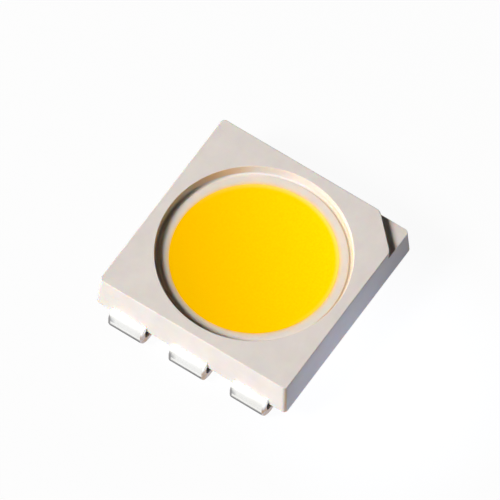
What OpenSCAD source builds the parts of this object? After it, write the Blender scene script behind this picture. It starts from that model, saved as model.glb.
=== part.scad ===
// Surface-mount light-emitting diode: a square moulded body with a round stepped cup,
// six folded leads, three dies with their bond wires, and a phosphor-filled silicone fill.
// The origin is the middle of the footprint on the solder plane, and light leaves along +Z.
// Leads 1 to 3 run along the -X side from +Y to -Y, and leads 4 to 6 come back along the +X side.

/* [Body] */
// Width of the square body at its parting plane
body_w = 5; // [4.6:0.1:7]
// Height from the solder plane to the top face
body_h = 1.5; // [1.5:0.05:2.2]
// Height of the parting plane, where the underside of the lead frame lies
parting_z = 0.54; // [0.5:0.01:0.58]
// How far each upper side leans in on the way up to the top face
upper_lean = 0.055; // [0.02:0.005:0.12]
// Radius of the upright corners at the top face and at the underside
corner_r = 0.12; // [0.02:0.01:0.3]
// Step from the upper side in to the lower half
lower_inset = 0.2; // [0.12:0.01:0.24]
// How far each lower side leans in on the way down
lower_lean = 0.05; // [0.02:0.01:0.12]
// Air under the lower half
standoff = 0.06; // [0.02:0.01:0.14]
// Width of the round gate mark in the middle of the underside
gate_d = 0.9; // [0.5:0.05:1.4]
// Depth of the gate mark
gate_depth = 0.04; // [0.02:0.01:0.1]

/* [Cup] */
// Thinnest wall between the cup's rim and a side of the top face
rim_wall = 0.26; // [0.15:0.01:0.5]
// Depth of the step below the top face
step_depth = 0.24; // [0.12:0.01:0.28]
// How far the step's wall leans in on the way down
step_lean = 0.045; // [0.01:0.005:0.1]
// Width of the ledge between the step's wall and the reflector
ledge_w = 0.275; // [0.18:0.005:0.4]
// Width of the groove along the foot of the step's wall
groove_w = 0.08; // [0.04:0.01:0.12]
// Depth of that groove below the ledge
groove_depth = 0.08; // [0.03:0.01:0.15]
// How far the reflector's wall closes in from the ledge to the floor
reflector_run = 0.27; // [0.1:0.01:0.4]

/* [Polarity notch] */
// Length that the notch cuts off each side of the top face
notch_leg = 0.75; // [0.5:0.05:1]
// Depth of the notch below the top face
notch_depth = 0.29; // [0.15:0.01:0.5]

/* [Leads] */
// Width of a lead outside the body
lead_w = 0.9; // [0.6:0.05:1]
// Thickness of the lead frame's strip
lead_t = 0.18; // [0.12:0.01:0.22]
// How far the leads stand out from the body's sides
lead_proud = 0.19; // [0.17:0.01:0.4]
// From a side of the body to the nearest edge of an outer lead
lead_margin = 0.45; // [0.4:0.05:0.7]
// Outer radius of a lead's two bends
bend_r = 0.24; // [0.23:0.01:0.33]
// Length of the foot, from the lead's outer face to its tip
foot_len = 1; // [0.7:0.05:1.3]
// Room between a foot and its pocket in the body
foot_gap = 0.03; // [0.01:0.01:0.06]
// From a side of the body in to where a lead widens into its pad
shoulder_in = 0.6; // [0.5:0.05:0.8]
// Width of the two middle pads
middle_pad_w = 0.8; // [0.6:0.05:0.9]
// Gap between neighbouring pads of the lead frame
pad_gap = 0.3; // [0.2:0.01:0.4]

/* [Dies] */
// Length of a die, along X
die_l = 0.5; // [0.4:0.02:0.6]
// Width of a die, along Y
die_w = 0.36; // [0.24:0.02:0.44]
// Thickness of a die
die_t = 0.12; // [0.08:0.01:0.16]
// Thickness of the adhesive under a die
attach_t = 0.02; // [0.01:0.005:0.04]
// How far the adhesive shows around a die
attach_rim = 0.03; // [0.01:0.005:0.05]
// From the adhesive to the edges of its pad
attach_edge = 0.07; // [0.03:0.01:0.1]

/* [Bond wires] */
// Thickness of a bond wire
wire_d = 0.03; // [0.02:0.005:0.05]
// Width of the ball on a die
ball_d = 0.09; // [0.07:0.01:0.12]
// Height of that ball
ball_h = 0.03; // [0.02:0.005:0.05]
// From the ball's middle to the end of its die
ball_in = 0.1; // [0.07:0.01:0.15]
// Straight rise of a wire above its ball
wire_rise = 0.1; // [0.05:0.01:0.14]
// Radius of the bend at the top of a wire
wire_bend_r = 0.06; // [0.04:0.01:0.1]
// Width of the flat stitch on a lead
stitch_d = 0.1; // [0.08:0.01:0.14]
// Height of that stitch
stitch_h = 0.02; // [0.015:0.005:0.03]
// From the edge of the metal or the adhesive to the middle of the stitch
stitch_in = 0.22; // [0.1:0.01:0.3]

/* [Encapsulant] */
// How far the surface sinks in the middle, still over the wires
fill_sag = 0.15; // [0.02:0.01:0.18]

/* [Hidden] */
$fn = 96;
// Cuts run this far past the faces that they open
past = 0.1;
sides = [0, 90, 180, 270];
leads = [1:6];
dies = [1:3];
wires = [1:6];

upper_h = body_h - parting_z;
top_w = body_w - 2 * upper_lean;
lower_w = body_w - 2 * lower_inset;
lower_h = parting_z - standoff;
frame_z = parting_z + lead_t;

ledge_z = body_h - step_depth;
rim_r = top_w / 2 - rim_wall;
step_r = rim_r - step_lean;
cup_r = step_r - ledge_w;
floor_r = cup_r - reflector_run;
// The surface is part of a ball that passes through the reflector's edge
fill_ball_r = (cup_r ^ 2 + fill_sag ^ 2) / (2 * fill_sag);

lead_x = body_w / 2 + lead_proud;
lead_pitch = (body_w - 2 * lead_margin - lead_w) / 2;
bend_x = lead_x - bend_r;
foot_x = lead_x - foot_len;
shoulder_x = body_w / 2 - shoulder_in;
attach_l = die_l + 2 * attach_rim;
attach_w = die_w + 2 * attach_rim;
die_pad_x = -attach_l / 2 - attach_edge;
finger_x = pad_gap - die_pad_x;
die_pitch = middle_pad_w / 2 + pad_gap + attach_edge + attach_w / 2;

die_z = frame_z + attach_t;
ball_x = die_l / 2 - ball_in;
ball_z = die_z + die_t;
pad_stitch_x = attach_l / 2 + stitch_in;
finger_stitch_x = finger_x + stitch_in;

// Leads 1 to 3 are on the -X side, and a half turn puts them there
function lead_turn(i) = i <= 3 ? 180 : 0;
// -1, 0 or 1 along the row, as seen before that half turn
function lead_row(i) = i <= 3 ? i - 2 : i - 5;
// Dies sit on the long pads of leads 1 to 3, and leads 4 to 6 end in short fingers
function lead_tip_x(i) = i <= 3 ? die_pad_x : finger_x;
function die_y(i) = (2 - i) * die_pitch;

// Square block with leaning sides and round upright corners, standing on its wide end,
// where the corners' radius is larger by the lean
module drafted_block(w, r, lean, h) {
    wide_r = r + lean;
    straight = w - 2 * wide_r;
    for (turn = [0, 90])
        rotate([90, 0, turn])
            linear_extrude(straight, center = true)
                polygon([[-w / 2, 0], [w / 2, 0], [w / 2 - lean, h], [lean - w / 2, h]]);
    for (turn = sides)
        rotate(turn)
            translate([straight / 2, straight / 2, 0])
                rotate_extrude(angle = 90)
                    polygon([[0, 0], [wide_r, 0], [r, h], [0, h]]);
}

// Room inside the cup: reflector, ledge, groove and step, open at the top
module cup_room() {
    rotate_extrude()
        polygon([
            [0, frame_z],
            [floor_r, frame_z],
            [cup_r, ledge_z],
            [step_r - groove_w, ledge_z],
            [step_r - groove_w, ledge_z - groove_depth],
            [step_r, ledge_z - groove_depth],
            [step_r, ledge_z],
            [rim_r, body_h],
            [rim_r, body_h + past],
            [0, body_h + past]
        ]);
}

// Corner cut off the top at 45 degrees, down to a flat shelf
module notch_room() {
    far = top_w / 2 + notch_leg;
    near = top_w / 2 - 2 * notch_leg;
    translate([0, 0, body_h - notch_depth])
        linear_extrude(notch_depth + past)
            polygon([[near, -far], [far, -near], [far, -far]]);
}

// Flat part of a lead inside the body: its strip and the pad that it widens into
module lead_plate(row, tip_x) {
    inner_y = row == 0 ? -middle_pad_w / 2 : middle_pad_w / 2 + pad_gap;
    outer_y = row == 0 ? middle_pad_w / 2 : lead_pitch + lead_w / 2;
    translate([0, 0, parting_z])
        linear_extrude(lead_t) {
            mirror([0, row < 0 ? 1 : 0])
                translate([tip_x, inner_y])
                    square([shoulder_x - tip_x, outer_y - inner_y]);
            translate([shoulder_x, row * lead_pitch - lead_w / 2])
                square([bend_x - shoulder_x, lead_w]);
        }
}

// Quarter of the strip's bend, seen from its edge
module quarter_bend() {
    intersection() {
        difference() {
            circle(bend_r);
            circle(bend_r - lead_t);
        }
        square(bend_r);
    }
}

// Part of a lead outside the body: two bends, the upright between them and the foot
module lead_fold(row) {
    translate([0, row * lead_pitch, 0])
        rotate([90, 0, 0])
            linear_extrude(lead_w, center = true) {
                translate([bend_x, frame_z - bend_r])
                    quarter_bend();
                translate([lead_x - lead_t, bend_r])
                    square([lead_t, frame_z - 2 * bend_r]);
                translate([bend_x, bend_r])
                    mirror([0, 1])
                        quarter_bend();
                translate([foot_x, 0])
                    square([bend_x - foot_x, lead_t]);
            }
}

// Room in the underside for a lead's foot
module foot_room(row) {
    tip = foot_x - foot_gap;
    width = lead_w + 2 * foot_gap;
    translate([tip, row * lead_pitch - width / 2, -past])
        cube([lead_x - tip, width, past + lead_t + foot_gap]);
}

// Gold wire from a ball on a die to a stitch on the metal, in the XZ plane towards +X
module wire_loop(from_x, to_x) {
    start_z = ball_z + ball_h;
    bend_z = start_z + wire_rise;
    reach = to_x - from_x - wire_bend_r;
    drop = bend_z - frame_z;
    line = sqrt(reach ^ 2 + drop ^ 2);
    slope = atan2(drop, reach) + asin(wire_bend_r / line);
    leg = sqrt(line ^ 2 - wire_bend_r ^ 2);
    // The leg ends where its middle is half a thickness above the metal
    leg_end = wire_d / 2 / sin(slope);
    translate([from_x, 0, ball_z])
        cylinder(h = ball_h, d = ball_d);
    translate([from_x, 0, start_z])
        cylinder(h = wire_rise, d = wire_d);
    translate([from_x + wire_bend_r, 0, bend_z])
        rotate([0, slope - 90, 0]) {
            rotate([90, 0, 0])
                rotate_extrude(angle = 90 + slope)
                    translate([wire_bend_r, 0])
                        circle(d = wire_d);
            translate([wire_bend_r, 0, leg_end - leg])
                cylinder(h = leg - leg_end, d = wire_d);
        }
    translate([to_x, 0, frame_z])
        cylinder(h = stitch_h, d = stitch_d);
}

// Matte white moulded body with its cup, its notch and the beds of the lead frame
module housing() {
    color("#dbd4cc")
        difference() {
            union() {
                translate([0, 0, parting_z])
                    drafted_block(body_w, corner_r, upper_lean, upper_h);
                translate([0, 0, parting_z])
                    mirror([0, 0, 1])
                        drafted_block(lower_w, corner_r, lower_lean, lower_h);
            }
            cup_room();
            notch_room();
            for (i = leads) {
                lead(i);
                rotate(lead_turn(i))
                    foot_room(lead_row(i));
            }
            translate([0, 0, standoff - past])
                cylinder(h = past + gate_depth, d = gate_d);
        }
}

// Folded strip of silver-plated copper
module lead(i) {
    color("#d8d8d6")
        rotate(lead_turn(i)) {
            lead_plate(lead_row(i), lead_tip_x(i));
            lead_fold(lead_row(i));
        }
}

// Blue-emitting die on its clear carrier
module die(i) {
    color("#7f93ad")
        translate([-die_l / 2, die_y(i) - die_w / 2, die_z])
            cube([die_l, die_w, die_t]);
}

// Film of clear adhesive between a die and its pad
module die_attach(i) {
    color("#e6dcb8")
        translate([-attach_l / 2, die_y(i) - attach_w / 2, frame_z])
            cube([attach_l, attach_w, attach_t]);
}

// Wires 1 to 3 come down on the dies' own pads, and wires 4 to 6 cross to the fingers
module bond_wire(i) {
    color("#d9a93a")
        translate([0, die_y(i <= 3 ? i : i - 3), 0])
            if (i <= 3)
                mirror([1, 0, 0])
                    wire_loop(ball_x, pad_stitch_x);
            else
                wire_loop(ball_x, finger_stitch_x);
}

// Yellow phosphor in silicone, poured over the dies up to the reflector's edge
module encapsulant() {
    color("#ffcd00")
        difference() {
            rotate_extrude()
                difference() {
                    polygon([[0, frame_z], [floor_r, frame_z], [cup_r, ledge_z], [0, ledge_z]]);
                    translate([0, ledge_z - fill_sag + fill_ball_r])
                        circle(fill_ball_r, $fn = 512);
                }
            for (i = dies) {
                die(i);
                die_attach(i);
            }
            for (i = wires)
                bond_wire(i);
        }
}

housing();
encapsulant();
for (i = leads) lead(i);
for (i = dies) die(i);
for (i = dies) die_attach(i);
for (i = wires) bond_wire(i);
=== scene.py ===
import math

import bmesh
import bpy
from mathutils import Matrix, Vector


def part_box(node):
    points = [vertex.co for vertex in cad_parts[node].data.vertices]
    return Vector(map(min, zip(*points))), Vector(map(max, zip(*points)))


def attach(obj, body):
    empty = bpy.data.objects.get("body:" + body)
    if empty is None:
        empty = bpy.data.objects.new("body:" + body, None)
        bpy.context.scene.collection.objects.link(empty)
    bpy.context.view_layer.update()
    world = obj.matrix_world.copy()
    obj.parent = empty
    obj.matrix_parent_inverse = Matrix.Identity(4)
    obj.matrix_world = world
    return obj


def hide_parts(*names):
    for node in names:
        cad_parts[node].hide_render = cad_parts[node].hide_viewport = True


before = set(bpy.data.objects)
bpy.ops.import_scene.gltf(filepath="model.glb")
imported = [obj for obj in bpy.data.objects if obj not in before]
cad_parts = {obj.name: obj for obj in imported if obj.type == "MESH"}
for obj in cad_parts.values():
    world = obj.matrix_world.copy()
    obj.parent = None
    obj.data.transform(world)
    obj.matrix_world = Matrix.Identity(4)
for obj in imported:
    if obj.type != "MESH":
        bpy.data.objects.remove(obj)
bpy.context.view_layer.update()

# Lead frame: six strips stamped from one sheet of copper, silver-plated, and folded down the body's
# sides and under it to make solder feet. Their wide inner ends are moulded into the body, where
# leads 1 to 3 carry a die each and leads 4 to 6 take the far ends of its wires.
MM = 0.001  # pieces are modelled in millimetres, the scale that bevels and cuts need, then brought to metres


def box_mm(node):
    """Lowest and highest corners of a CAD node, in millimetres."""
    return [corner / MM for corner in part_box(node)]


finger_low, finger_high = box_mm("lead_5")
corner_pad_low, corner_pad_high = box_mm("lead_1")
lead_w = finger_high.y - finger_low.y
lead_t = 0.18
lead_x = finger_high.x
frame_z = finger_high.z
parting_z = frame_z - lead_t
lead_pitch = corner_pad_high.y - lead_w / 2
bend_r, foot_bend_r, bend_steps = 0.24, 0.33, 12
foot_len = 1.0
foot_x = lead_x - foot_len
shoulder_x = 1.9
middle_pad_w = 0.8
pad_inner_y = corner_pad_low.y
lead_edge, lead_edge_steps = 0.045, 2
QUARTER = math.radians(90)


def only(kind, geometry):
    """The parts of one kind in what an operator returns."""
    return [part for part in geometry if isinstance(part, kind)]


def lead_plate(row, tip_x, end_x):
    """Flat part of a lead in the body, on the +X side: its pad and the strip that leaves it."""
    strip = row * lead_pitch - lead_w / 2, row * lead_pitch + lead_w / 2
    pad = -middle_pad_w / 2, middle_pad_w / 2
    if row > 0:
        pad = pad_inner_y, strip[1]
    if row < 0:
        pad = strip[0], -pad_inner_y
    outline = [(tip_x, pad[0]), (shoulder_x, pad[0]), (shoulder_x, strip[0]), (end_x, strip[0])]
    outline += [(end_x, strip[1]), (shoulder_x, strip[1]), (shoulder_x, pad[1]), (tip_x, pad[1])]
    bm = bmesh.new()
    # Where pad and strip share an edge line, the two corners at the shoulder are one
    base = bm.faces.new([bm.verts.new((x, y, parting_z)) for x, y in dict.fromkeys(outline)])
    top = bmesh.ops.extrude_face_region(bm, geom=[base])["geom"]
    bmesh.ops.translate(bm, vec=(0, 0, lead_t), verts=only(bmesh.types.BMVert, top))
    bmesh.ops.recalc_face_normals(bm, faces=bm.faces)
    return bm


def fold(bm, radius, centre_z, length, way):
    """Turns the strip's end face a quarter round a bend, then runs it on along a straight."""
    # The way that a face looks decides, and among faces that look alike, the outermost is the end
    looks_first = 100
    end = max(bm.faces, key=lambda face: face.normal.dot(way) * looks_first + face.calc_center_median().x)
    turned = only(bmesh.types.BMFace, bmesh.ops.spin(
        bm, geom=[end], cent=(lead_x - radius, 0, centre_z), axis=(0, 1, 0), angle=QUARTER, steps=bend_steps
    )["geom_last"])
    straight = bmesh.ops.extrude_face_region(bm, geom=turned)["geom"]
    onward = Vector((way.z, 0, -way.x)) * length
    bmesh.ops.translate(bm, vec=onward, verts=only(bmesh.types.BMVert, straight))
    bmesh.ops.delete(bm, geom=[end, *turned], context="FACES_ONLY")
    bmesh.ops.recalc_face_normals(bm, faces=bm.faces)


def soften(bm, width, segments, chosen=lambda middle: True):
    """Rounds the sharp edges whose middles are chosen."""
    sharp = math.radians(30)
    edges = [edge for edge in bm.edges if edge.calc_face_angle(0) > sharp]
    edges = [edge for edge in edges if chosen((edge.verts[0].co + edge.verts[1].co) / 2)]
    bmesh.ops.bevel(
        bm, geom=edges, offset=width, offset_type="OFFSET", segments=segments, profile=0.5,
        affect="EDGES", clamp_overlap=True, material=-1,
    )
    bmesh.ops.remove_doubles(bm, verts=bm.verts, dist=1e-4)


def finished(bm, name, materials):
    """Brings a modelled piece to metres, as an object that rides on the part."""
    bmesh.ops.scale(bm, vec=(MM, MM, MM), verts=bm.verts)
    mesh = bpy.data.meshes.new(name)
    bm.to_mesh(mesh)
    bm.free()
    mesh.shade_smooth()
    mesh.set_sharp_from_angle(angle=math.radians(40))
    for material in materials:
        mesh.materials.append(material)
    piece = bpy.data.objects.new(name, mesh)
    bpy.context.scene.collection.objects.link(piece)
    piece.modifiers.new("flat faces stay flat", "WEIGHTED_NORMAL").keep_sharp = True
    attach(piece, "root")
    return piece


def linear(colour):
    """sRGB hex to the linear colour that shaders take."""
    channels = [int(colour[i:i + 2], 16) / 255 for i in (1, 3, 5)]
    return (*(c / 12.92 if c <= 0.04045 else ((c + 0.055) / 1.055) ** 2.4 for c in channels), 1)


def add_node(tree, kind, values=None, links=None, stops=(), **settings):
    """Adds a node with its settings, socket values and links. A ramp's stops are in hex or are shares."""
    node = tree.nodes.new(kind)
    for name, value in settings.items():
        setattr(node, name, value)
    for socket, value in (values or {}).items():
        node.inputs[socket].default_value = value
    for socket, source in (links or {}).items():
        tree.links.new(source, node.inputs[socket])
    if stops:
        ramp = node.color_ramp.elements
        for at, _ in stops[1:-1]:
            ramp.new(at)
        for element, (at, shade) in zip(ramp, stops):
            element.position = at
            element.color = linear(shade) if isinstance(shade, str) else (shade, shade, shade, 1)
    return node


def new_material(name):
    """Starts a material: its tree, its shader, and the place on the piece that its patterns follow."""
    material = bpy.data.materials.new(name)
    material.use_nodes = True
    tree = material.node_tree
    place = add_node(tree, "ShaderNodeTexCoord").outputs["Object"]
    return material, tree, tree.nodes["Principled BSDF"], place


def shares(longest, *stops):
    """Ramp stops for a length of up to the longest, from (millimetres, share) pairs."""
    return [(at / longest, share) for at, share in stops]


# Silver plate over rolled copper: bright, with faint rolling lines along the strip that spread its
# reflections and a thin warm tarnish in patches. A faint grey line under the upper bend, darker towards
# one end, is a painted reflection. Round the lower bend the plate is painted a flat grey, a painted dark
# reflection of the shade under the part, and the same painted grey runs up that end of the upright.
# The lines are drawn coarser than rolling leaves them, so that they show.
silver, tree, shader, place = new_material("silver_plate")
rolling_mm, rolling_stretch, tarnish_mm = 0.35, 12, 0.5
line_dark_from, line_dark_to, line_least = 0.25, 0.42, 0.06
dark_end_from, dark_end_to = 0.36, 0.39
half_pitch = lead_pitch / 2 * MM
MIX_SHARE, MIX_FROM, MIX_TO, MIX_COLOUR = 0, 6, 7, 2  # the Mix node's sockets for colours
along = add_node(
    tree, "ShaderNodeMapping", {"Scale": (1, rolling_stretch, 1)}, {"Vector": place}
).outputs["Vector"]
lines = add_node(
    tree, "ShaderNodeTexNoise", {"Scale": 1 / (rolling_mm * MM), "Detail": 4}, {"Vector": along}
).outputs["Fac"]
patches = add_node(
    tree, "ShaderNodeTexNoise", {"Scale": 1 / (tarnish_mm * MM), "Detail": 3}, {"Vector": place}
).outputs["Fac"]
tint = add_node(
    tree, "ShaderNodeValToRGB", links={"Fac": patches}, stops=((0.35, "#f3f2ed"), (0.6, "#f8f8f6"))
).outputs["Color"]
spot = add_node(tree, "ShaderNodeSeparateXYZ", links={0: place}).outputs
height = add_node(
    tree, "ShaderNodeMapRange", {"From Max": frame_z * MM}, {"Value": spot["Z"]}
).outputs["Result"]
across = add_node(
    tree, "ShaderNodeMath", {1: half_pitch, 2: -half_pitch}, {0: spot["Y"]}, operation="WRAP"
).outputs["Value"]
# Painted reflection: a grey line under the upper bend, darker towards one end of each strip
line_strength = add_node(
    tree, "ShaderNodeMapRange",
    {"From Min": line_dark_from * MM, "From Max": line_dark_to * MM, "To Min": line_least}, {"Value": across},
).outputs["Result"]
reflection_line = add_node(
    tree, "ShaderNodeValToRGB", links={"Fac": height},
    stops=shares(frame_z, (0.43, 0), (0.47, 1), (0.52, 0.8), (0.62, 0)),
).outputs["Color"]
painted_line = add_node(
    tree, "ShaderNodeMath", links={0: reflection_line, 1: line_strength}, operation="MULTIPLY"
).outputs["Value"]
# Painted dark reflection of the shade under the part: flat grey round the lower bend
under_bend_shade = add_node(
    tree, "ShaderNodeValToRGB", links={"Fac": height},
    stops=shares(frame_z, (0.02, 0), (0.05, 1), (0.33, 1), (0.37, 0)),
).outputs["Color"]
upright = add_node(
    tree, "ShaderNodeValToRGB", links={"Fac": height},
    stops=shares(frame_z, (0.02, 0), (0.05, 1), (0.56, 1), (0.62, 0)),
).outputs["Color"]
# Painted dark reflection: the same grey up the upright at one end of each strip
dark_end = add_node(
    tree, "ShaderNodeMapRange", {"From Min": dark_end_from * MM, "From Max": dark_end_to * MM}, {"Value": across}
).outputs["Result"]
painted_dark_end = add_node(
    tree, "ShaderNodeMath", links={0: dark_end, 1: upright}, operation="MULTIPLY"
).outputs["Value"]
painted_dark = add_node(tree, "ShaderNodeMath", links={0: under_bend_shade, 1: painted_dark_end}, operation="MAXIMUM").outputs["Value"]
bright = add_node(tree, "ShaderNodeMath", {0: 1}, {1: painted_dark}, operation="SUBTRACT").outputs["Value"]
with_painted_line = add_node(
    tree, "ShaderNodeMix", {MIX_TO: linear("#61646f")}, {MIX_SHARE: painted_line, MIX_FROM: tint}, data_type="RGBA"
).outputs[MIX_COLOUR]
painted_dark_colour = add_node(
    tree, "ShaderNodeMix", {MIX_TO: linear("#858587")}, {MIX_SHARE: painted_dark, MIX_FROM: with_painted_line}, data_type="RGBA"
).outputs[MIX_COLOUR]
gloss = add_node(tree, "ShaderNodeMapRange", {"To Min": 0.16, "To Max": 0.34}, {"Value": lines})
relief = add_node(tree, "ShaderNodeBump", {"Strength": 0.4, "Distance": 0.002 * MM}, {"Height": lines})
tree.links.new(painted_dark_colour, shader.inputs["Base Color"])
tree.links.new(bright, shader.inputs["Metallic"])
tree.links.new(gloss.outputs["Result"], shader.inputs["Roughness"])
tree.links.new(relief.outputs["Normal"], shader.inputs["Normal"])
shader.inputs["Specular IOR Level"].default_value = 0

# Stamped edge: copper shows through the thin plate in brown and grey patches where the punch smeared
# it. Towards the upper bend the edge turns white.
stamped, tree, shader, place = new_material("stamped_copper_edge")
smear_mm = 0.12
white_from, white_to = 0.49, 0.6
smears = add_node(
    tree, "ShaderNodeTexNoise", {"Scale": 1 / (smear_mm * MM), "Detail": 4}, {"Vector": place}
).outputs["Fac"]
tint = add_node(
    tree, "ShaderNodeValToRGB", links={"Fac": smears}, stops=((0.4, "#b89a7c"), (0.62, "#c4bfc6"))
).outputs["Color"]
spot = add_node(tree, "ShaderNodeSeparateXYZ", links={0: place}).outputs
whitened = add_node(
    tree, "ShaderNodeMapRange", {"From Min": white_from * MM, "From Max": white_to * MM}, {"Value": spot["Z"]}
).outputs["Result"]
edge = add_node(
    tree, "ShaderNodeMix", {MIX_TO: linear("#fcfcfc")}, {MIX_SHARE: whitened, MIX_FROM: tint}, data_type="RGBA"
).outputs[MIX_COLOUR]
gloss = add_node(tree, "ShaderNodeMapRange", {"To Min": 0.3, "To Max": 0.55}, {"Value": smears})
relief = add_node(tree, "ShaderNodeBump", {"Strength": 0.5, "Distance": 0.004 * MM}, {"Height": smears})
tree.links.new(edge, shader.inputs["Base Color"])
tree.links.new(gloss.outputs["Result"], shader.inputs["Roughness"])
tree.links.new(relief.outputs["Normal"], shader.inputs["Normal"])
shader.inputs["Metallic"].default_value = 1

# Dark edge: the rounds along one long edge of the strip are painted a matte, patchy grey, a painted
# dark reflection.
dark_edge, tree, shader, place = new_material("dark_edge_reflection")
edge_patch_mm = 0.08
edge_patches = add_node(
    tree, "ShaderNodeTexNoise", {"Scale": 1 / (edge_patch_mm * MM), "Detail": 3}, {"Vector": place}
).outputs["Fac"]
tint = add_node(tree, "ShaderNodeValToRGB", links={"Fac": edge_patches}, stops=((0, "#7c7b7d"), (1, "#8c8b8d")))
tree.links.new(tint.outputs["Color"], shader.inputs["Base Color"])
shader.inputs["Roughness"].default_value = 0.6
shader.inputs["Specular IOR Level"].default_value = 0

finishes = [silver, stamped, dark_edge]
leads_a_side = 3
lead_numbers = range(1, 2 * leads_a_side + 1)
edge_tilt, end_tilt = 0.2, 0.95
dark_edge_top_z = 0.6
LEFT_SIDE = Matrix.Rotation(math.pi, 3, "Z")


def lead_place(number):
    """Row of a lead before its half turn, the inner end of its plate, and whether it is turned."""
    turned = number <= leads_a_side
    row = (number - 1) % leads_a_side - 1
    low, high = box_mm(f"lead_{number}")
    return row, -high.x if turned else low.x, turned


for number in lead_numbers:
    row, tip_x, turned = lead_place(number)
    bm = lead_plate(row, tip_x, lead_x - bend_r)
    fold(bm, bend_r, frame_z - bend_r, frame_z - bend_r - foot_bend_r, Vector((1, 0, 0)))
    fold(bm, foot_bend_r, foot_bend_r, lead_x - foot_bend_r - foot_x, Vector((0, 0, -1)))
    soften(bm, lead_edge, lead_edge_steps)
    # Both cut edges show the stamping, and the rounds of one of them carry the painted dark reflection
    for face in bm.faces:
        if face.normal.y > edge_tilt or face.normal.y < -end_tilt:
            face.material_index = finishes.index(stamped)
        elif face.normal.y < -edge_tilt and face.calc_center_median().z < dark_edge_top_z:
            face.material_index = finishes.index(dark_edge)
    if turned:
        bmesh.ops.rotate(bm, cent=(0, 0, 0), matrix=LEFT_SIDE, verts=bm.verts)
    lead = finished(bm, f"folded_lead_{number}", finishes)
    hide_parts(f"lead_{number}")

# Housing: white heat-proof nylon, moulded in one shot round the lead frame in a two-part mould, so
# both halves lean in from the parting plane. The stepped cup reflects the light, a groove along the
# foot of its step stops the fill, and a corner cut off the top shows which way round the part goes.
body_low, body_high = box_mm("housing")
fill_edge = box_mm("encapsulant")[1]
body_w = body_high.x - body_low.x
body_h = body_high.z
standoff = body_low.z
upper_lean, lower_lean, lower_inset = 0.055, 0.05, 0.2
corner_r, corner_steps = 0.1, 6
top_w = body_w - 2 * upper_lean
rim_wall, step_lean = 0.26, 0.015
rim_r = top_w / 2 - rim_wall
step_r = rim_r - step_lean
cup_r, ledge_z = fill_edge.x, fill_edge.z
reflector_run = 0.27
floor_r = cup_r - reflector_run
groove_w, groove_depth, groove_steps = 0.085, 0.035, 8
groove_r = step_r - groove_w / 2
round_steps = 160
notch_leg, notch_depth, notch_round, notch_steps = 0.75, 0.19, 0.3, 3
shelf_z = body_h - notch_depth
foot_gap = 0.03
gate_d, gate_depth, gate_steps = 0.9, 0.04, 64
past = 0.1  # how far a tool runs on outside what it cuts
rim_edge, ledge_edge, top_edge, shelf_edge, parting_edge = 0.012, 0.012, 0.02, 0.06, 0.012
near, side_band = 0.01, 0.05  # how close an edge lies to the height or the side that it belongs to


def rounded_square(bm, width, z):
    """Adds a level square with rounded corners."""
    others = set(bm.faces)
    level = Matrix.Translation((0, 0, z))
    corners = bmesh.ops.create_grid(bm, x_segments=1, y_segments=1, size=width / 2, matrix=level)["verts"]
    bmesh.ops.bevel(
        bm, geom=corners, offset=corner_r, offset_type="OFFSET", segments=corner_steps, profile=0.5,
        affect="VERTICES", material=-1,
    )
    return (set(bm.faces) - others).pop()


def drafted_half(bm, width, lean, rise):
    """Half of the body, from a square in the parting plane to a smaller one, open at the plane."""
    base = rounded_square(bm, width, parting_z)
    end = rounded_square(bm, width - 2 * lean, parting_z + rise)
    bmesh.ops.bridge_loops(bm, edges=[*base.edges, *end.edges])
    bmesh.ops.delete(bm, geom=[base], context="FACES_ONLY")


def block(low, high):
    """Box between two corners."""
    bm = bmesh.new()
    centre, size = (Vector(low) + Vector(high)) / 2, Vector(high) - Vector(low)
    bmesh.ops.create_cube(bm, size=1, matrix=Matrix.Translation(centre) @ Matrix.Diagonal((*size, 1)))
    return bm


def turned_solid(profile):
    """Solid of revolution round the cup's axis, from (radius, height) points that start and end on it."""
    bm = bmesh.new()
    points = [bm.verts.new((r, 0, z)) for r, z in profile]
    edges = [bm.edges.new(pair) for pair in zip(points, points[1:])]
    bmesh.ops.spin(
        bm, geom=points + edges, cent=(0, 0, 0), axis=(0, 0, 1), angle=math.tau, steps=round_steps,
        use_merge=True,
    )
    bmesh.ops.remove_doubles(bm, verts=bm.verts, dist=1e-5)
    bmesh.ops.recalc_face_normals(bm, faces=bm.faces)
    return bm


def cut(body, tool):
    """Takes a tool's room out of the body."""
    solids = []
    for shape in (body, tool):
        mesh = bpy.data.meshes.new("cut")
        shape.to_mesh(mesh)
        solids.append(bpy.data.objects.new("cut", mesh))
        bpy.context.scene.collection.objects.link(solids[-1])
    modifier = solids[0].modifiers.new("cut", "BOOLEAN")
    modifier.object, modifier.operation, modifier.solver = solids[1], "DIFFERENCE", "EXACT"
    left = bpy.data.meshes.new_from_object(solids[0].evaluated_get(bpy.context.evaluated_depsgraph_get()))
    body.clear()
    body.from_mesh(left)
    tool.free()
    for solid in solids:
        bpy.data.objects.remove(solid)


bm = bmesh.new()
drafted_half(bm, body_w, upper_lean, body_h - parting_z)
drafted_half(bm, body_w - 2 * lower_inset, lower_lean, standoff - parting_z)
bmesh.ops.triangle_fill(bm, use_beauty=True, edges=[e for e in bm.edges if e.is_boundary], normal=(0, 0, -1))
bmesh.ops.recalc_face_normals(bm, faces=bm.faces)

turns = [math.pi * i / groove_steps for i in range(groove_steps + 1)]
cup = [(0, frame_z), (floor_r, frame_z), (cup_r, ledge_z)]
cup += [(groove_r - groove_w / 2 * math.cos(t), ledge_z - groove_depth * math.sin(t)) for t in turns]
cup += [(rim_r, body_h), (rim_r, body_h + past), (0, body_h + past)]
cut(bm, turned_solid(cup))

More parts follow.
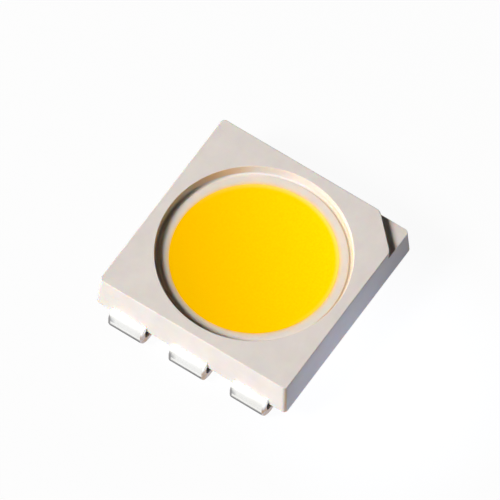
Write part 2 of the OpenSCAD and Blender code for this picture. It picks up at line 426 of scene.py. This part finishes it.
for number in lead_numbers:
    row, tip_x, turned = lead_place(number)
    foot_y = row * lead_pitch
    room_low = foot_x - foot_gap, foot_y - lead_w / 2 - foot_gap, -past
    room_high = lead_x, foot_y + lead_w / 2 + foot_gap, lead_t + foot_gap
    for tool in (lead_plate(row, tip_x, lead_x), block(room_low, room_high)):
        if turned:
            bmesh.ops.rotate(tool, cent=(0, 0, 0), matrix=LEFT_SIDE, verts=tool.verts)
        cut(bm, tool)

# The notch's room keeps just outside the leaning sides, so its rounded ends run out on them
notch_clear = 0.02
notch_side = top_w / 2 + notch_clear
notch_end = top_w - notch_leg - notch_side
outside = notch_side + 1
outline = [(-outside, -notch_side), (notch_end, -notch_side), (notch_side, -notch_end), (notch_side, outside)]
outline += [(outside, outside), (outside, -outside), (-outside, -outside)]
notch = bmesh.new()
plan = [notch.verts.new((x, y, shelf_z)) for x, y in outline]
notch.faces.new(plan)
# Each end turns by half a quarter, so its round starts this far from the corner
round_start = notch_round * math.tan(QUARTER / 4)
bmesh.ops.bevel(
    notch, geom=plan[1:3], offset=round_start, offset_type="OFFSET", segments=notch_steps,
    profile=0.5, affect="VERTICES", material=-1,
)
raised = bmesh.ops.extrude_face_region(notch, geom=notch.faces[:])["geom"]
bmesh.ops.translate(notch, vec=(0, 0, notch_depth + past), verts=only(bmesh.types.BMVert, raised))
bmesh.ops.recalc_face_normals(notch, faces=notch.faces)
cut(bm, notch)

gate = bmesh.new()
bmesh.ops.create_cone(
    gate, cap_ends=True, segments=gate_steps, radius1=gate_d / 2, radius2=gate_d / 2, depth=2 * gate_depth,
    matrix=Matrix.Translation((0, 0, standoff)),
)
cut(bm, gate)


def at_side(point, width):
    """Whether a point lies in the band along the sides of a square."""
    return max(abs(point.x), abs(point.y)) > width / 2 - side_band


soften(bm, rim_edge, segments=3, chosen=lambda p: p.z > body_h - near and p.xy.length < rim_r + near)
soften(bm, ledge_edge, segments=2, chosen=lambda p: abs(p.z - ledge_z) < near and p.xy.length < groove_r)
soften(bm, shelf_edge, segments=4, chosen=lambda p: abs(p.z - shelf_z) < near and at_side(p, top_w))
soften(bm, top_edge, segments=3, chosen=lambda p: p.z > shelf_z + near and p.xy.length > rim_r + near)
soften(bm, parting_edge, segments=2, chosen=lambda p: p.z < frame_z + near and at_side(p, body_w))

# Moulded nylon, filled with white pigment: a soft matte white with faint clouds and the mould's fine
# grain, where light sinks in a little. The front upright corner carries painted warm shade in cream and
# tan, where its lit side turns into its shaded one. The fill's phosphor has crept out over the ledge as a
# yellow fringe, which also holds painted yellow light thrown back by the fill, and painted tan shade lies
# in the groove and on the foot of the step's wall on the side away from the lamp. The grain is drawn
# coarser than a mould leaves it, so that it shows.
resin, tree, shader, place = new_material("moulded_white_nylon")
cloud_mm, grain_mm = 0.5, 0.045
shaded_corner_way = Vector((-0.6, -0.8, 0))
corner_shade_from, corner_shade_to, corner_shade_most = 0.92, 0.985, 0.85
ledge_from, ledge_to = 1.05, 1.15
shaded_groove_side = Vector((0.5, -0.87, 0))
groove_shade_from, groove_shade_to = 0.45, 0.9
clouds = add_node(
    tree, "ShaderNodeTexNoise", {"Scale": 1 / (cloud_mm * MM), "Detail": 5, "Roughness": 0.6},
    {"Vector": place},
).outputs["Fac"]
grain = add_node(
    tree, "ShaderNodeTexNoise", {"Scale": 1 / (grain_mm * MM), "Detail": 3}, {"Vector": place}
).outputs["Fac"]
tint = add_node(
    tree, "ShaderNodeValToRGB", links={"Fac": clouds}, stops=((0.3, "#d9d3d0"), (0.7, "#dfd9d6"))
).outputs["Color"]
# Painted warm shade on the front upright corner, where its normals turn from the lit side to the shaded one
facing = add_node(tree, "ShaderNodeNewGeometry").outputs["Normal"]
corner = add_node(
    tree, "ShaderNodeVectorMath", {1: shaded_corner_way}, {0: facing}, operation="DOT_PRODUCT"
).outputs["Value"]
corner_shade = add_node(
    tree, "ShaderNodeMapRange", {"From Min": corner_shade_from, "From Max": corner_shade_to, "To Max": corner_shade_most},
    {"Value": corner},
).outputs["Result"]
flat = add_node(
    tree, "ShaderNodeVectorMath", {1: (1, 1, 0)}, {0: place}, operation="MULTIPLY"
).outputs["Vector"]
distance = add_node(tree, "ShaderNodeVectorMath", links={0: flat}, operation="LENGTH").outputs["Value"]
radius = add_node(
    tree, "ShaderNodeMapRange", {"From Max": body_w * MM}, {"Value": distance}
).outputs["Result"]
spot = add_node(tree, "ShaderNodeSeparateXYZ", links={0: place}).outputs
height = add_node(
    tree, "ShaderNodeMapRange", {"From Max": body_h * MM}, {"Value": spot["Z"]}
).outputs["Result"]
in_cup = add_node(
    tree, "ShaderNodeMapRange", {"From Min": ledge_from * MM, "From Max": ledge_to * MM}, {"Value": spot["Z"]}
).outputs["Result"]
# Yellow fringe round the fill: partly phosphor crept over the ledge, partly painted yellow light thrown back
# by the fill
fringe_and_bounce = add_node(
    tree, "ShaderNodeValToRGB", links={"Fac": radius},
    stops=shares(
        body_w, (cup_r - 0.01, 0.9), (cup_r + 0.02, 0.6), (cup_r + 0.06, 0.2), (cup_r + 0.1, 0.08),
        (step_r, 0),
    ),
).outputs["Color"]
crept_and_bounced = add_node(
    tree, "ShaderNodeMath", links={0: fringe_and_bounce, 1: in_cup}, operation="MULTIPLY"
).outputs["Value"]
# Painted tan shade in the groove and on the foot of the step's wall, on the side away from the lamp
by_step = add_node(
    tree, "ShaderNodeValToRGB", links={"Fac": radius},
    stops=shares(body_w, (groove_r - groove_w, 0), (groove_r, 1), (rim_r, 1), (rim_r + 0.01, 0)),
).outputs["Color"]
at_foot = add_node(
    tree, "ShaderNodeValToRGB", links={"Fac": height},
    stops=shares(
        body_h, (ledge_z - groove_depth - 0.02, 0), (ledge_z - groove_depth, 0.35), (ledge_z, 0.8),
        (ledge_z + 0.04, 0.6), (ledge_z + 0.1, 0),
    ),
).outputs["Color"]
aside = add_node(
    tree, "ShaderNodeVectorMath", {1: shaded_groove_side}, {0: flat}, operation="DOT_PRODUCT"
).outputs["Value"]
on_shaded_side = add_node(
    tree, "ShaderNodeMapRange", {"From Min": groove_shade_from * step_r * MM, "From Max": groove_shade_to * step_r * MM},
    {"Value": aside},
).outputs["Result"]
groove_shade_band = add_node(
    tree, "ShaderNodeMath", links={0: by_step, 1: on_shaded_side}, operation="MULTIPLY"
).outputs["Value"]
groove_shade = add_node(
    tree, "ShaderNodeMath", links={0: at_foot, 1: groove_shade_band}, operation="MULTIPLY"
).outputs["Value"]
colour = tint
for share, shade in ((corner_shade, "#e8c8a4"), (crept_and_bounced, "#f8cc6a"), (groove_shade, "#d6b57c")):
    colour = add_node(
        tree, "ShaderNodeMix", {MIX_TO: linear(shade)}, {MIX_SHARE: share, MIX_FROM: colour}, data_type="RGBA"
    ).outputs[MIX_COLOUR]
gloss = add_node(tree, "ShaderNodeMapRange", {"To Min": 0.5, "To Max": 0.65}, {"Value": grain})
relief = add_node(tree, "ShaderNodeBump", {"Strength": 0.35, "Distance": 0.003 * MM}, {"Height": grain})
tree.links.new(colour, shader.inputs["Base Color"])
tree.links.new(gloss.outputs["Result"], shader.inputs["Roughness"])
tree.links.new(relief.outputs["Normal"], shader.inputs["Normal"])
shader.inputs["IOR"].default_value = 1.55
shader.inputs["Specular IOR Level"].default_value = 0.1
shader.inputs["Subsurface Weight"].default_value = 1
shader.inputs["Subsurface Radius"].default_value = (1, 0.55, 0.3)
shader.inputs["Subsurface Scale"].default_value = 0.03 * MM

housing = finished(bm, "moulded_housing", [resin])
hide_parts("housing")

# Dies: blue-emitting crystal grown on clear carriers and sawn from a wafer, each stuck to its pad by a
# film of clear adhesive that is cured in an oven.


def dress(kind, count, finish):
    """Gives the CAD nodes of one kind their finish."""
    for number in range(1, count + 1):
        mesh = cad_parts[f"{kind}_{number}"].data
        mesh.materials.clear()
        mesh.materials.append(finish)


# Sawn crystal: a clear bluish grey, polished on top, with the saw's fine marks in its gloss.
crystal, tree, shader, place = new_material("die_crystal")
saw_mm = 0.02
sawn = add_node(
    tree, "ShaderNodeTexNoise", {"Scale": 1 / (saw_mm * MM), "Detail": 2}, {"Vector": place}
).outputs["Fac"]
tint = add_node(tree, "ShaderNodeValToRGB", links={"Fac": sawn}, stops=((0, "#6d83a3"), (1, "#93a6bd")))
gloss = add_node(tree, "ShaderNodeMapRange", {"To Min": 0.08, "To Max": 0.25}, {"Value": sawn})
tree.links.new(tint.outputs["Color"], shader.inputs["Base Color"])
tree.links.new(gloss.outputs["Result"], shader.inputs["Roughness"])
shader.inputs["IOR"].default_value = 1.77
dress("die", count=3, finish=crystal)

# Cured adhesive: a glossy, yellowish film, a little uneven where it set.
adhesive, tree, shader, place = new_material("clear_die_adhesive")
cure_mm = 0.05
cured = add_node(
    tree, "ShaderNodeTexNoise", {"Scale": 1 / (cure_mm * MM), "Detail": 2}, {"Vector": place}
).outputs["Fac"]
tint = add_node(tree, "ShaderNodeValToRGB", links={"Fac": cured}, stops=((0, "#dccfa4"), (1, "#ece5c9")))
tree.links.new(tint.outputs["Color"], shader.inputs["Base Color"])
shader.inputs["Roughness"].default_value = 0.2
shader.inputs["IOR"].default_value = 1.5
dress("die_attach", count=3, finish=adhesive)

# Bond wires: drawn gold, two to a die, each welded by a ball to the die and by a flattened stitch to
# the lead frame.

# Drawn gold: bright and warm, with its gloss broken up by the fine lines of drawing.
gold, tree, shader, place = new_material("drawn_gold")
draw_mm = 0.015
drawn = add_node(
    tree, "ShaderNodeTexNoise", {"Scale": 1 / (draw_mm * MM), "Detail": 2}, {"Vector": place}
).outputs["Fac"]
tint = add_node(tree, "ShaderNodeValToRGB", links={"Fac": drawn}, stops=((0, "#d8a648"), (1, "#efc76a")))
gloss = add_node(tree, "ShaderNodeMapRange", {"To Min": 0.15, "To Max": 0.3}, {"Value": drawn})
tree.links.new(tint.outputs["Color"], shader.inputs["Base Color"])
tree.links.new(gloss.outputs["Result"], shader.inputs["Roughness"])
shader.inputs["Metallic"].default_value = 1
dress("bond_wire", count=6, finish=gold)

# Encapsulant: yellow phosphor powder in clear silicone, poured over the dies up to the reflector's
# edge and cured. It shrinks a little, so its surface sinks in the middle.
fill_sag, sag_steps = 0.15, 24
outward = [1 - i / sag_steps for i in range(sag_steps + 1)]
profile = [(0, frame_z), (floor_r, frame_z)]
profile += [(cup_r * out, ledge_z - fill_sag * (1 - out ** 2)) for out in outward]
bm = turned_solid(profile)

# Phosphor in silicone: an even yellow with the powder's fine grain. Painted shade deepens it to orange
# towards the side nearest the lamp. Along the border on the far side it is paler, partly where the layer
# thins out over the white reflector and partly as painted light where that border faces the lamp. As
# phosphor does in daylight, it gives off a faint warm light of its own. The grains are drawn at a few
# times their real size, so that they show.
phosphor, tree, shader, place = new_material("phosphor_silicone")
powder_mm = 0.05
thin_lit_side, border_w, thin_lit_from, thin_lit_most = Vector((0.92, -0.39, 0)), 0.11, -0.2, 0.22
shaded_fill_side, fill_shade_most = Vector((-0.45, 0.89, 0)), 0.6
powder = add_node(
    tree, "ShaderNodeTexNoise", {"Scale": 1 / (powder_mm * MM), "Detail": 4, "Roughness": 0.6},
    {"Vector": place},
).outputs["Fac"]
tint = add_node(
    tree, "ShaderNodeValToRGB", links={"Fac": powder}, stops=((0.3, "#ffcc00"), (0.7, "#ffd600"))
).outputs["Color"]
flat = add_node(
    tree, "ShaderNodeVectorMath", {1: (1, 1, 0)}, {0: place}, operation="MULTIPLY"
).outputs["Vector"]
distance = add_node(tree, "ShaderNodeVectorMath", links={0: flat}, operation="LENGTH").outputs["Value"]
# Paler border on the side away from the lamp: partly the layer thinning over the white reflector, partly
# painted light
border = add_node(
    tree, "ShaderNodeMapRange", {"From Min": (cup_r - border_w) * MM, "From Max": cup_r * MM},
    {"Value": distance}, interpolation_type="SMOOTHSTEP",
).outputs["Result"]
aside = add_node(
    tree, "ShaderNodeVectorMath", {1: thin_lit_side}, {0: flat}, operation="DOT_PRODUCT"
).outputs["Value"]
thin_lit = add_node(
    tree, "ShaderNodeMapRange",
    {"From Min": thin_lit_from * cup_r * MM, "From Max": cup_r * MM, "To Max": thin_lit_most}, {"Value": aside},
).outputs["Result"]
thin_lit_border = add_node(
    tree, "ShaderNodeMath", links={0: border, 1: thin_lit}, operation="MULTIPLY"
).outputs["Value"]
# Painted shade: the fill deepens to orange towards the side nearest the lamp
inward = add_node(
    tree, "ShaderNodeVectorMath", {1: shaded_fill_side}, {0: flat}, operation="DOT_PRODUCT"
).outputs["Value"]
fill_shade = add_node(
    tree, "ShaderNodeMapRange", {"From Min": -cup_r * MM, "From Max": cup_r * MM, "To Max": fill_shade_most},
    {"Value": inward},
).outputs["Result"]
colour = tint
for share, shade in ((fill_shade, "#ffc000"), (thin_lit_border, "#fff2cc")):
    colour = add_node(
        tree, "ShaderNodeMix", {MIX_TO: linear(shade)}, {MIX_SHARE: share, MIX_FROM: colour}, data_type="RGBA"
    ).outputs[MIX_COLOUR]
relief = add_node(tree, "ShaderNodeBump", {"Strength": 0.15, "Distance": 0.004 * MM}, {"Height": powder})
tree.links.new(colour, shader.inputs["Base Color"])
tree.links.new(relief.outputs["Normal"], shader.inputs["Normal"])
shader.inputs["Roughness"].default_value = 0.6
shader.inputs["IOR"].default_value = 1.41
shader.inputs["Specular IOR Level"].default_value = 0.02
shader.inputs["Emission Color"].default_value = linear("#ff8c00")
shader.inputs["Emission Strength"].default_value = 0.08

fill = finished(bm, "phosphor_fill", [phosphor])
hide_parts("encapsulant")

# Floor: a plain white light table that the feet stand on, lit faintly under the part and, a little
# bluish, beside its -Y side. The camera and the metal see it as white, and it keeps the part's shadow.
table_size = 0.12
bm = bmesh.new()
bmesh.ops.create_grid(bm, x_segments=1, y_segments=1, size=table_size)
mesh = bpy.data.meshes.new("table")
bm.to_mesh(mesh)
bm.free()
table = bpy.data.objects.new("table", mesh)
bpy.context.scene.collection.objects.link(table)

# Frosted white sheet: matte, with no gloss, and clear from below, so that the part's underside shows.
sheet, tree, shader, place = new_material("white_table")
WHITE = 1, 1, 1, 1
bright_spot, bright_reach, bright_level = Vector((-0.4, -3.6, 0)), 3.5, 1.68
under_from, under_to, under_level = 2.2, 3, 0.7
camera_share, metal_share = 0.95, 0.9  # of plain white, the rest being the sheet as it is lit
away = add_node(
    tree, "ShaderNodeVectorMath", {1: bright_spot * MM}, {0: place}, operation="DISTANCE"
).outputs["Value"]
beside = add_node(
    tree, "ShaderNodeMapRange", {"From Max": bright_reach * MM, "To Min": bright_level, "To Max": 0},
    {"Value": away},
).outputs["Result"]
distance = add_node(tree, "ShaderNodeVectorMath", links={0: place}, operation="LENGTH").outputs["Value"]
beneath = add_node(
    tree, "ShaderNodeMapRange",
    {"From Min": under_from * MM, "From Max": under_to * MM, "To Min": under_level, "To Max": 0},
    {"Value": distance},
).outputs["Result"]
lit = add_node(tree, "ShaderNodeMath", links={0: beside, 1: beneath}, operation="MAXIMUM").outputs["Value"]
lit_colour = add_node(
    tree, "ShaderNodeMix", {MIX_FROM: linear("#cad5f8"), MIX_TO: WHITE}, {MIX_SHARE: beneath},
    data_type="RGBA",
).outputs[MIX_COLOUR]
tree.links.new(lit, shader.inputs["Emission Strength"])
tree.links.new(lit_colour, shader.inputs["Emission Color"])
shader.inputs["Base Color"].default_value = linear("#cacbce")
shader.inputs["Roughness"].default_value = 0.9
shader.inputs["Specular IOR Level"].default_value = 0
path = add_node(tree, "ShaderNodeLightPath").outputs
seen = add_node(
    tree, "ShaderNodeMath", links={0: path["Is Camera Ray"], 1: path["Is Transmission Ray"]},
    operation="MAXIMUM",
).outputs["Value"]
camera_white = add_node(
    tree, "ShaderNodeMath", {1: camera_share}, {0: seen}, operation="MULTIPLY"
).outputs["Value"]
metal_white = add_node(
    tree, "ShaderNodeMath", {1: metal_share}, {0: path["Is Glossy Ray"]}, operation="MULTIPLY"
).outputs["Value"]
white = add_node(
    tree, "ShaderNodeMath", links={0: camera_white, 1: metal_white}, operation="MAXIMUM"
).outputs["Value"]
plain = add_node(tree, "ShaderNodeEmission", {"Color": WHITE, "Strength": 1}).outputs[0]
upper = add_node(
    tree, "ShaderNodeMixShader", links={0: white, 1: shader.outputs["BSDF"], 2: plain}
).outputs[0]
clear = add_node(tree, "ShaderNodeBsdfTransparent").outputs[0]
from_below = add_node(tree, "ShaderNodeNewGeometry").outputs["Backfacing"]
surface = add_node(tree, "ShaderNodeMixShader", links={0: from_below, 1: upper, 2: clear}).outputs[0]
tree.links.new(surface, tree.nodes["Material Output"].inputs["Surface"])
table.data.materials.append(sheet)

# Room: dim, slightly warm light from all round, which the camera and the metal see as plain white.
room = bpy.data.worlds.new("room")
room.use_nodes = True
tree = room.node_tree
ambient = tree.nodes["Background"]
ambient.inputs["Color"].default_value = linear("#fff4ea")
ambient.inputs["Strength"].default_value = 0.022
backdrop = add_node(tree, "ShaderNodeBackground", {"Color": WHITE, "Strength": 1}).outputs[0]
path = add_node(tree, "ShaderNodeLightPath").outputs
seen = add_node(
    tree, "ShaderNodeMath", links={0: path["Is Camera Ray"], 1: path["Is Transmission Ray"]},
    operation="MAXIMUM",
).outputs["Value"]
white = add_node(
    tree, "ShaderNodeMath", links={0: seen, 1: path["Is Glossy Ray"]}, operation="MAXIMUM"
).outputs["Value"]
both = add_node(tree, "ShaderNodeMixShader", links={0: white, 1: ambient.outputs[0], 2: backdrop}).outputs[0]
tree.links.new(both, tree.nodes["World Output"].inputs["Surface"])
bpy.context.scene.world = room

# Key lamp: one soft box, high over the corner beside lead 1. Its level is the light that it throws on
# a face turned to it.
lamp_bearing, lamp_height = -125, 43
lamp_distance, lamp_size, lamp_level = 0.3, 0.1, 1.5


def way_to(bearing, height):
    """Direction from the part, by degrees round from its -Y side and by degrees above the table."""
    a, e = math.radians(bearing), math.radians(height)
    return Vector((math.sin(a) * math.cos(e), -math.cos(a) * math.cos(e), math.sin(e)))


lamp_way = way_to(lamp_bearing, lamp_height)
lamp = bpy.data.lights.new("key_lamp", "AREA")
lamp.shape = "SQUARE"
lamp.size = lamp_size
lamp.color = linear("#fffdf9")[:3]
lamp.energy = lamp_level * (math.pi * lamp_distance) ** 2
holder = bpy.data.objects.new("key_lamp", lamp)
lamp_turn = lamp_way.to_track_quat("Z", "Y").to_matrix().to_4x4()
holder.matrix_world = Matrix.Translation(lamp_way * lamp_distance) @ lamp_turn
bpy.context.scene.collection.objects.link(holder)

# Camera: a long lens high over the front corner, turned a little about its own axis.
camera_bearing, camera_height, camera_roll = -57.93, 61.04, -1.83
camera_distance = 0.3
pixels, pixels_per_mm = 500, 45.61
middle = Vector((0, 0, 0.75)) * MM
frame_right, frame_up = -0.0794 * MM, 0.4332 * MM  # from the part's middle to the view's
back = way_to(camera_bearing, camera_height)
bearing, roll = math.radians(camera_bearing), math.radians(camera_roll)
level_right = Vector((math.cos(bearing), math.sin(bearing), 0))
level_up = back.cross(level_right)
right = level_right * math.cos(roll) - level_up * math.sin(roll)
up = level_right * math.sin(roll) + level_up * math.cos(roll)
lens = bpy.data.cameras.new("camera")
lens.sensor_width = 36
lens.lens = pixels_per_mm * lens.sensor_width * camera_distance / MM / pixels
lens.clip_start, lens.clip_end = 0.01, 10
camera = bpy.data.objects.new("camera", lens)
eye = middle + right * frame_right + up * frame_up + back * camera_distance
camera.matrix_world = Matrix.Translation(eye) @ Matrix((right, up, back)).transposed().to_4x4()
bpy.context.scene.collection.objects.link(camera)
bpy.context.scene.camera = camera
bpy.context.scene.view_settings.view_transform = "Standard"
